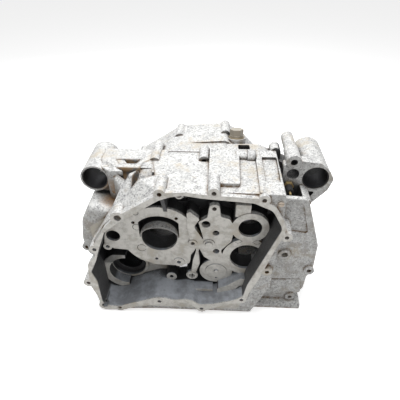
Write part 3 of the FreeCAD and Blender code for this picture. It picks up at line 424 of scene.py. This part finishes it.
def painted_shade_inside(cast, skin, inside, deep):
    """Lays over the raw skin the chamber's walls painted dark as shade, its floors painted blue grey as a
    sky reflection, black painted shade in its deep part and in narrow hollows, and one corner of rust with
    painted shade. A wall is a face that looks to the chamber's middle: its facing, times the way to the
    middle, adds up to more than 0."""
    to_middle_x = CHAMBER_MIDDLE_X - cast.x
    to_middle_z = CHAMBER_MIDDLE_Z - cast.z
    inward = (to_middle_x * cast.across + to_middle_z * cast.upwards).above(0, TURNS_INWARD)
    # Painted light and shade: floors that face up are painted blue grey as a sky reflection, walls near
    # black.
    sky_lit_floor = cast.mix((cast.clouds * 0.5 + cast.blotch * 0.5).above(0.4, 0.6) * 0.7, FLOOR_SKY_BLUE, FLOOR_DARK)
    wall = cast.mix(cast.upwards.above(0.55, 0.8), SHADED_WALL_GREY, sky_lit_floor)
    skin = cast.mix(inside * inward * (0.88 + cast.blotch * 0.12), skin, wall)
    # Painted shade: the deep part of the chamber and hollows narrower than the reach are painted black.
    wide_open = cast.openness(HOLLOW_REACH)
    skin = cast.mix(deep * (1 - wide_open.above(0.75, 0.95)) * 0.97, skin, DEEP_SHADE_BLACK)
    narrow = cast.y.above(*SHADE_STARTS) * (1 - wide_open.above(0.3, 0.6))
    skin = cast.mix(narrow * 0.96, skin, DEEP_SHADE_BLACK)
    # Rust with painted shade: one brown patch in the hollow beside the left mount.
    away = cast.node("ShaderNodeVectorMath", {"operation": "DISTANCE"}, [cast.place, RUST_AND_SHADE_PLACE], "Value")
    rust_and_shade = (1 - away.above(RUST_AND_SHADE_REACH * 0.6, RUST_AND_SHADE_REACH)) * (1 - wide_open.above(0.6, 0.85))
    return cast.mix(rust_and_shade * (0.4 + cast.fleck.above(0.4, 0.6) * 0.5), skin, RUST_AND_SHADE_BROWN)


# %% The finish of the case
MILLED_SMOOTHER = 0.2
MILLED_FLATTER = 0.85


def used_casting(name):
    """Raw skin with its inside painted dark as shade, and milled faces that are smoother and hardly pitted.
    """
    cast = Casting(name)
    inside = in_chamber(cast)
    milled = is_milled(cast, inside)
    deep = behind_the_islands(cast, inside)
    raw = painted_shade_inside(cast, sand_cast(cast), inside, deep)
    colour = cast.mix(milled * (1 - deep), raw, milled_metal(cast))
    roughness = cast.roughness - milled * MILLED_SMOOTHER
    height = cast.height * (1 - milled * MILLED_FLATTER)
    return cast.finish(colour, roughness, DULL_METAL, height, PIT_DEPTH, EDGE_RADIUS)


# %% [markdown]
# ## Steel, brass and plastic
#
# The small parts are turned or pressed. Steel is dull and slightly stained, brass is tarnished, and the
# switch's body is black plastic. One recipe serves every metal: its own colour, a second, darker colour in
# blotches, in creases and on sides that do not face up, and fine scratches.

# %% Worn metal and plastic
SMUDGES = (3.5 * MM, 4.0, 0.6)
SCRATCHES = (0.5 * MM, 3.0, 0.6)
SCRATCH_DEPTH = 0.08 * MM
METAL_CREASE = 6 * MM
DUST = (2 * MM, 4.0, 0.6)
MOULD_GRAIN = (0.4 * MM, 3.0, 0.55)
MOULD_GRAIN_DEPTH = 0.05 * MM
SMALL_EDGE_RADIUS = 0.4 * MM
PLASTIC_BLACK = (0.02, 0.02, 0.022)
PLASTIC_DUST = (0.12, 0.11, 0.1)
PLASTIC_ROUGHNESS = 0.42


def worn_metal(name, colour, stain, roughness, metallic):
    """Metal with fine scratches, and a second, darker colour in blotches, in creases and on sides
    that do not face up.
    """
    paint = Paint(name)
    smudge = paint.noise(*SMUDGES)
    scratches = paint.noise(*SCRATCHES)
    upwards = paint.split(paint.facing)[2]
    share = (1 - paint.openness(METAL_CREASE).above(0.4, 0.9)) * 0.5 + smudge.above(0.5, 0.75) * 0.3
    share = share.either((1 - upwards.above(0.3, 0.8)) * 0.6)
    return paint.finish(paint.mix(share, colour, stain), roughness + (smudge - 0.5) * 0.3, metallic,
                        scratches, SCRATCH_DEPTH, SMALL_EDGE_RADIUS)


def black_plastic(name):
    """Moulded plastic with a faint dusty haze."""
    paint = Paint(name)
    dust = paint.noise(*DUST).above(0.45, 0.8) * 0.3
    return paint.finish(paint.mix(dust, PLASTIC_BLACK, PLASTIC_DUST), PLASTIC_ROUGHNESS, 0.0,
                        paint.noise(*MOULD_GRAIN), MOULD_GRAIN_DEPTH, SMALL_EDGE_RADIUS)


# %% [markdown]
# ## Dressing the CAD nodes
#
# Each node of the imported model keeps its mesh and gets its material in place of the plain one. The worn
# metals are rows of one table: the material's name, its colour, its stain, and how rough and metallic it is.

# %% Materials of the nodes
STEEL = (0.5, 0.49, 0.46)
DARK_STEEL = (0.045, 0.045, 0.05)
PALE_STEEL = (0.8, 0.79, 0.76)
PALE_STEEL_STAIN = (0.45, 0.43, 0.39)
BOLT_GREY = (0.42, 0.39, 0.33)
BOLT_GREASE = (0.11, 0.085, 0.055)
WASHER_BRONZE = (0.42, 0.36, 0.25)
WASHER_TARNISH = (0.14, 0.09, 0.04)
RUST = (0.24, 0.16, 0.09)
SOOT = (0.03, 0.025, 0.02)
BRASS = (0.55, 0.42, 0.2)
BRASS_TARNISH = (0.2, 0.12, 0.05)
BRASS_DIRT = (0.1, 0.08, 0.05)
CASTINGS = {"front_case": "front_casting", "rear_case": "rear_casting", "gallery_plug": "plug_metal"}
WORN_METALS = {
    "case_bolts": ("bolt_steel", STEEL, RUST, 0.38, 0.7),
    "case_dowels": ("dowel_steel", STEEL, RUST, 0.38, 0.7),
    "oil_sleeve": ("sleeve_steel", PALE_STEEL, PALE_STEEL_STAIN, 0.4, 0.2),
    "left_mount_sleeve": ("left_bush_steel", DARK_STEEL, SOOT, 0.45, 0.7),
    "right_mount_sleeve": ("right_bush_steel", DARK_STEEL, SOOT, 0.45, 0.7),
    "drain_bolt": ("drain_steel", BOLT_GREY, BOLT_GREASE, 0.45, 0.3),
    "drain_washer": ("washer_metal", WASHER_BRONZE, WASHER_TARNISH, 0.45, 0.5),
    "face_screw": ("screw_steel", STEEL, RUST, 0.38, 0.7),
    "switch_ring": ("switch_brass", BRASS, BRASS_TARNISH, 0.4, 0.7),
    "switch_terminal": ("terminal_metal", BRASS, BRASS_DIRT, 0.4, 0.7),
}


def dress(node, material):
    """Puts the material in place of the node's plain one."""
    slots = nodes[node].data.materials
    slots.clear()
    slots.append(material)


for node, name in CASTINGS.items():
    dress(node, used_casting(name))
for node, metal_row in WORN_METALS.items():
    dress(node, worn_metal(*metal_row))
dress("switch_body", black_plastic("switch_plastic"))
print("materials:", len(CASTINGS) + len(WORN_METALS) + 1, "for nodes:", len(nodes))

# %% [markdown]
# ## The shoulder behind the rim
#
# Between the rim and the left mount the casting rises in one slope to the flat top, with three pockets sunk
# into it. The rigid model has a plain block there. Sculpting the slope would make its flat parts uneven, so
# it is a height over the plan instead: one plane that climbs to the right and to the back, held down by the
# flat top, with each pocket taken out of it by its distance from the pocket's edges. Its points are given
# in the drawing's millimetres, from the middle cover screw, the cover face and the ground, and moved to the
# model's frame at the end.

# %% The plan and its slope
GRID_ACROSS = 110
GRID_BACK = 128
FRONT_Y = 5
BACK_Y = 106
LEFT_EDGE_Y = (5, 8, 35.5, 50, 61, 64, 106)
LEFT_EDGE_X = (-140, -139, -119, -131.5, -146, -152, -152)
RIGHT_EDGE = -57
RIM_X = -62
RIM_Y = 8
RIM_HEIGHT = 226
CLIMB_RIGHT = 0.714
CLIMB_BACK = 0.9
FLAT_TOP = 225.4

share, y = np.meshgrid(np.linspace(0, 1, GRID_ACROSS), np.linspace(FRONT_Y, BACK_Y, GRID_BACK))
left = np.interp(y, LEFT_EDGE_Y, LEFT_EDGE_X)
x = left + (RIGHT_EDGE - left) * share
rim_line = RIM_HEIGHT + CLIMB_RIGHT * (x - RIM_X)
height = np.minimum(rim_line + CLIMB_BACK * (y - RIM_Y), FLAT_TOP)
print("the slope climbs from", round(height.min(), 1), "to", round(height.max(), 1), "mm")


# %% Distances from lines and outlines
def right_of_line(x, y, start, end):
    """How far each point lies to the right of a line, in millimetres: the way from the line's start to the
    point, crossed with the line's direction."""
    along_x = end[0] - start[0]
    along_y = end[1] - start[1]
    return (along_y * (x - start[0]) - along_x * (y - start[1])) / math.hypot(along_x, along_y)


def depth_inside(x, y, corners):
    """How far each point lies inside a convex outline whose corners run clockwise, in millimetres: the
    smallest of its distances to the right of the sides."""
    sides = zip(corners, (*corners[1:], corners[0]))
    return np.min([right_of_line(x, y, start, end) for start, end in sides], axis=0)


# %% Raised block and sunk pockets
POCKET_WALL = 1.6
BLOCK_TOP = 221.8
BLOCK_OUTLINE = ((-153, 64), (-153, 107), (-117, 107), (-117, 49.5), (-131.5, 49.5))
BACK_POCKET = ((-132, 78), (-99, 79), (-103.5, 68.5), (-125.4, 67.5))
MIDDLE_POCKET = ((-132.5, 57.5), (-95, 57.2), (-113, 39.5))
FRONT_POCKET = ((-103.5, 28.5), (-103.3, 39), (-94, 71), (-84, 80), (-75, 42))
POCKET_FLOORS = ((BACK_POCKET, 217, 0, 0), (MIDDLE_POCKET, 207, 0, 0), (FRONT_POCKET, 209.5, 0.229, 0.57))
POCKET_EDGE_SHADE = 0.6
POCKET_EDGE_SHADE_WIDTH = 1.5

raised = np.clip(depth_inside(x, y, BLOCK_OUTLINE) / POCKET_WALL, 0, 1)
height = height + np.maximum(BLOCK_TOP - height, 0) * raised
uncut = height
# Painted shade, 0 to 1: along the pockets' edges, then in the front pocket's crevice and at steep walls.
pocket_shade = np.zeros(x.shape)
for outline, level, per_x, per_y in POCKET_FLOORS:
    floor = level + per_x * x + per_y * y
    inside = depth_inside(x, y, outline)
    sunk = np.clip(inside / POCKET_WALL, 0, 1)
    height = height + np.minimum(floor - height, 0) * sunk * sunk * (3 - 2 * sunk)
    pocket_shade = np.maximum(pocket_shade, np.exp(-(inside / POCKET_EDGE_SHADE_WIDTH) ** 2) * POCKET_EDGE_SHADE)
print("pockets:", len(POCKET_FLOORS), "deepest in mm:", round(float((uncut - height).max()), 1))

# %% [markdown]
# ### Where the shoulder is painted with shade
#
# Painted shade, in black and brown, lies along the pockets' edges, at the foot of walls that climb steeply
# to the back, and in the front pocket from its near edge inwards. The shapes are known here, so the shade
# is worked out from them, one number for each point, and the material reads it from the mesh.

# %% Painted shade of the shoulder
CREVICE = ((-76, 42), (-104, 28.5))
CREVICE_WIDTH = 22
STEEP_CLIMB = 1.5
STEEP_SHADE = 0.95

in_crevice = np.clip(1 - right_of_line(x, y, *CREVICE) / CREVICE_WIDTH, 0, 1)
in_crevice = in_crevice * (depth_inside(x, y, FRONT_POCKET) > 0)
climb = np.gradient(height, axis=0) / np.gradient(y, axis=0)
steep = np.clip(climb - STEEP_CLIMB, 0, 1) * STEEP_SHADE
pocket_shade = np.maximum(np.maximum(pocket_shade, in_crevice), steep)
# The print counts the points with heavy painted shade.
print("share of points with heavy grime:", round(float((pocket_shade > 0.5).mean()), 2))


def pocket_shaded_casting(name):
    """The raw skin, with painted shade in black and brown where the mesh's own shade attribute asks for it.
    """
    cast = Casting(name)
    share = cast.node("ShaderNodeAttribute", {"attribute_name": "pocket_shade"}, {}, "Fac")
    # Painted shade colour: black and brown in blotches.
    dirt_and_shade = cast.mix(cast.blotch.above(0.4, 0.6), GRIME_AND_SHADE_BLACK, BROWN)
    colour = cast.mix(share * (0.7 + cast.blotch * 0.5), sand_cast(cast), dirt_and_shade)
    return cast.finish(colour, cast.roughness, DULL_METAL, cast.height, PIT_DEPTH, EDGE_RADIUS)


# %% A slab between two heights
DRAWING_TO_MODEL = np.array((75, -35, -124.5))


def place_mesh(name, points, faces, material):
    """Puts points, given in drawing millimetres, and faces into a smooth mesh that rides on the case."""
    mesh = bpy.data.meshes.new(name)
    mesh.from_pydata(((points + DRAWING_TO_MODEL) * MM).tolist(), [], faces)
    mesh.polygons.foreach_set("use_smooth", np.ones(len(mesh.polygons), bool))
    mesh.materials.append(material)
    made = bpy.data.objects.new(name, mesh)
    bpy.context.scene.collection.objects.link(made)
    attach(made, "root")
    print(name, "faces:", len(mesh.polygons))
    return mesh


def slab(name, x, y, top, bottom, material):
    """A closed body between two heights over the same grid of x and y. Its faces are the grid's squares
    twice, the lower ones turned round, and a strip that follows the grid's border."""
    upper = np.stack((x, y, top), -1).reshape(-1, 3)
    lower = np.stack((x, y, bottom), -1).reshape(-1, 3)
    corner = np.arange(x.size).reshape(x.shape)
    squares = (corner[:-1, :-1], corner[:-1, 1:], corner[1:, 1:], corner[1:, :-1])
    a, b, c, d = (part.ravel() for part in squares)
    border = np.concatenate((corner[0, :-1], corner[:-1, -1], corner[-1, :0:-1], corner[:0:-1, 0]))
    ahead = np.roll(border, -1)
    faces = np.concatenate((
        np.stack((a, b, c, d), 1),
        np.stack((a, d, c, b), 1) + x.size,
        np.stack((border, border + x.size, ahead + x.size, ahead), 1),
    ))
    return place_mesh(name, np.concatenate((upper, lower)), faces.tolist(), material)


# %% The shoulder
THICKNESS = 3
SIDE_WALL_SHARE = 0.03
SIDE_WALL_ENDS_Y = 58
SIDE_WALL_DROP = 6

bottom = height - THICKNESS
side_wall = (share < SIDE_WALL_SHARE) & (y < SIDE_WALL_ENDS_Y)
bottom = np.where(side_wall, np.minimum(bottom, rim_line - SIDE_WALL_DROP), bottom)
shoulder_mesh = slab("shoulder", x, y, height, bottom, pocket_shaded_casting("shoulder_casting"))
attribute = shoulder_mesh.attributes.new("pocket_shade", "FLOAT", "POINT")
attribute.data.foreach_set("value", np.tile(pocket_shade.ravel(), 2))

# %% [markdown]
# ## The small boss under the rim
#
# Under the top edge of the rim sits a short boss with a hole. A cylinder with another cut out of it would
# need a boolean, which leaves ragged faces. It is a profile of radius and depth turned about an axis
# instead: the floor of the hole, its wall, the face with its two chamfers, and the outside. The profile
# starts and ends beside the axis, where two small caps close the body.

# %% Turned boss
TURN_STEPS = 48
BOSS_X = -42
BOSS_Z = 218.2
NEAR_AXIS = 0.01
BOSS_PROFILE = (
    (NEAR_AXIS, 17), (2.8, 17), (2.8, 9.3), (3.1, 9), (4.8, 9), (5.3, 9.6), (5.6, 34), (NEAR_AXIS, 34),
)


def turned(name, centre_x, centre_z, profile, material):
    """A body of revolution: each radius and depth of the profile goes round the centre's axis along y."""
    radius, depth = (np.array(part, float) for part in zip(*profile))
    angle = np.arange(TURN_STEPS) * 2 * math.pi / TURN_STEPS
    x = centre_x + np.outer(radius, np.cos(angle))
    z = centre_z + np.outer(radius, np.sin(angle))
    points = np.stack((x, np.broadcast_to(depth[:, None], x.shape), z), -1).reshape(-1, 3)
    corner = np.arange(x.size).reshape(x.shape)
    ring = corner[:-1]
    next_ring = corner[1:]
    sides = np.stack((ring, next_ring, np.roll(next_ring, -1, 1), np.roll(ring, -1, 1)), -1).reshape(-1, 4)
    first_cap = corner[0].tolist()
    last_cap = corner[-1, ::-1].tolist()
    return place_mesh(name, points, [*sides.tolist(), first_cap, last_cap], material)


turned("rim_boss", BOSS_X, BOSS_Z, BOSS_PROFILE, used_casting("boss_casting"))

# %% [markdown]
# ## Ground and background
#
# The case stands on a white sheet before a white background. More lamps would bleach the casting before the
# sheet came out white. So the sheet glows, and the world is at full strength, only for the rays that come
# from the camera or through a mirror or glass. The rays that light the case meet matt paper and a dim
# world, and the sheet keeps the case's soft contact shadow.

# %% Which rays look at the background
DIRECT_RAYS = ("Is Camera Ray", "Is Glossy Ray", "Is Transmission Ray")


def seen_directly(tree):
    """1 for the direct rays and 0 for rays that only carry light."""
    seen = 0
    for ray in DIRECT_RAYS:
        seen = tree.node("ShaderNodeLightPath", {}, {}, ray).either(seen)
    return seen


# %% Ground
GROUND_HALF = 12.0
GROUND_GAP = 0.05 * MM
PAPER_WHITE = (0.9, 0.9, 0.9, 1.0)
PURE_WHITE = (1.0, 1.0, 1.0, 1.0)
PAPER_GLOW = 0.55

corners = np.array([(-1, -1, 0), (1, -1, 0), (1, 1, 0), (-1, 1, 0)], float) * GROUND_HALF
corners[:, 2] = cad_low.z - GROUND_GAP
ground_mesh = bpy.data.meshes.new("ground")
ground_mesh.from_pydata(corners.tolist(), [], [(0, 1, 2, 3)])
ground = bpy.data.objects.new("ground", ground_mesh)
bpy.context.scene.collection.objects.link(ground)

paper_material = bpy.data.materials.new("ground_paper")
paper = Tree(paper_material)
matt = paper.node("ShaderNodeBsdfDiffuse", {}, {"Color": PAPER_WHITE})
glow = paper.node("ShaderNodeEmission", {}, {"Color": PURE_WHITE, "Strength": PAPER_GLOW})
bright = paper.node("ShaderNodeAddShader", {}, [matt, glow])
shown = paper.node("ShaderNodeMixShader", {}, [seen_directly(paper), matt, bright])
paper.feed(paper.nodes["Material Output"], {"Surface": shown})
ground_mesh.materials.append(paper_material)
print("ground", 2 * GROUND_HALF, "m wide, below the case by mm:", GROUND_GAP / MM)

# %% World
WORLD_LIGHT = 0.34
world = bpy.data.worlds.new("studio")
bpy.context.scene.world = world
sky = Tree(world)
strength = WORLD_LIGHT + seen_directly(sky) * (1 - WORLD_LIGHT)
sky.feed(sky.nodes["Background"], {"Color": PURE_WHITE, "Strength": strength})
print("world strength:", WORLD_LIGHT, "for light and 1 for direct rays")
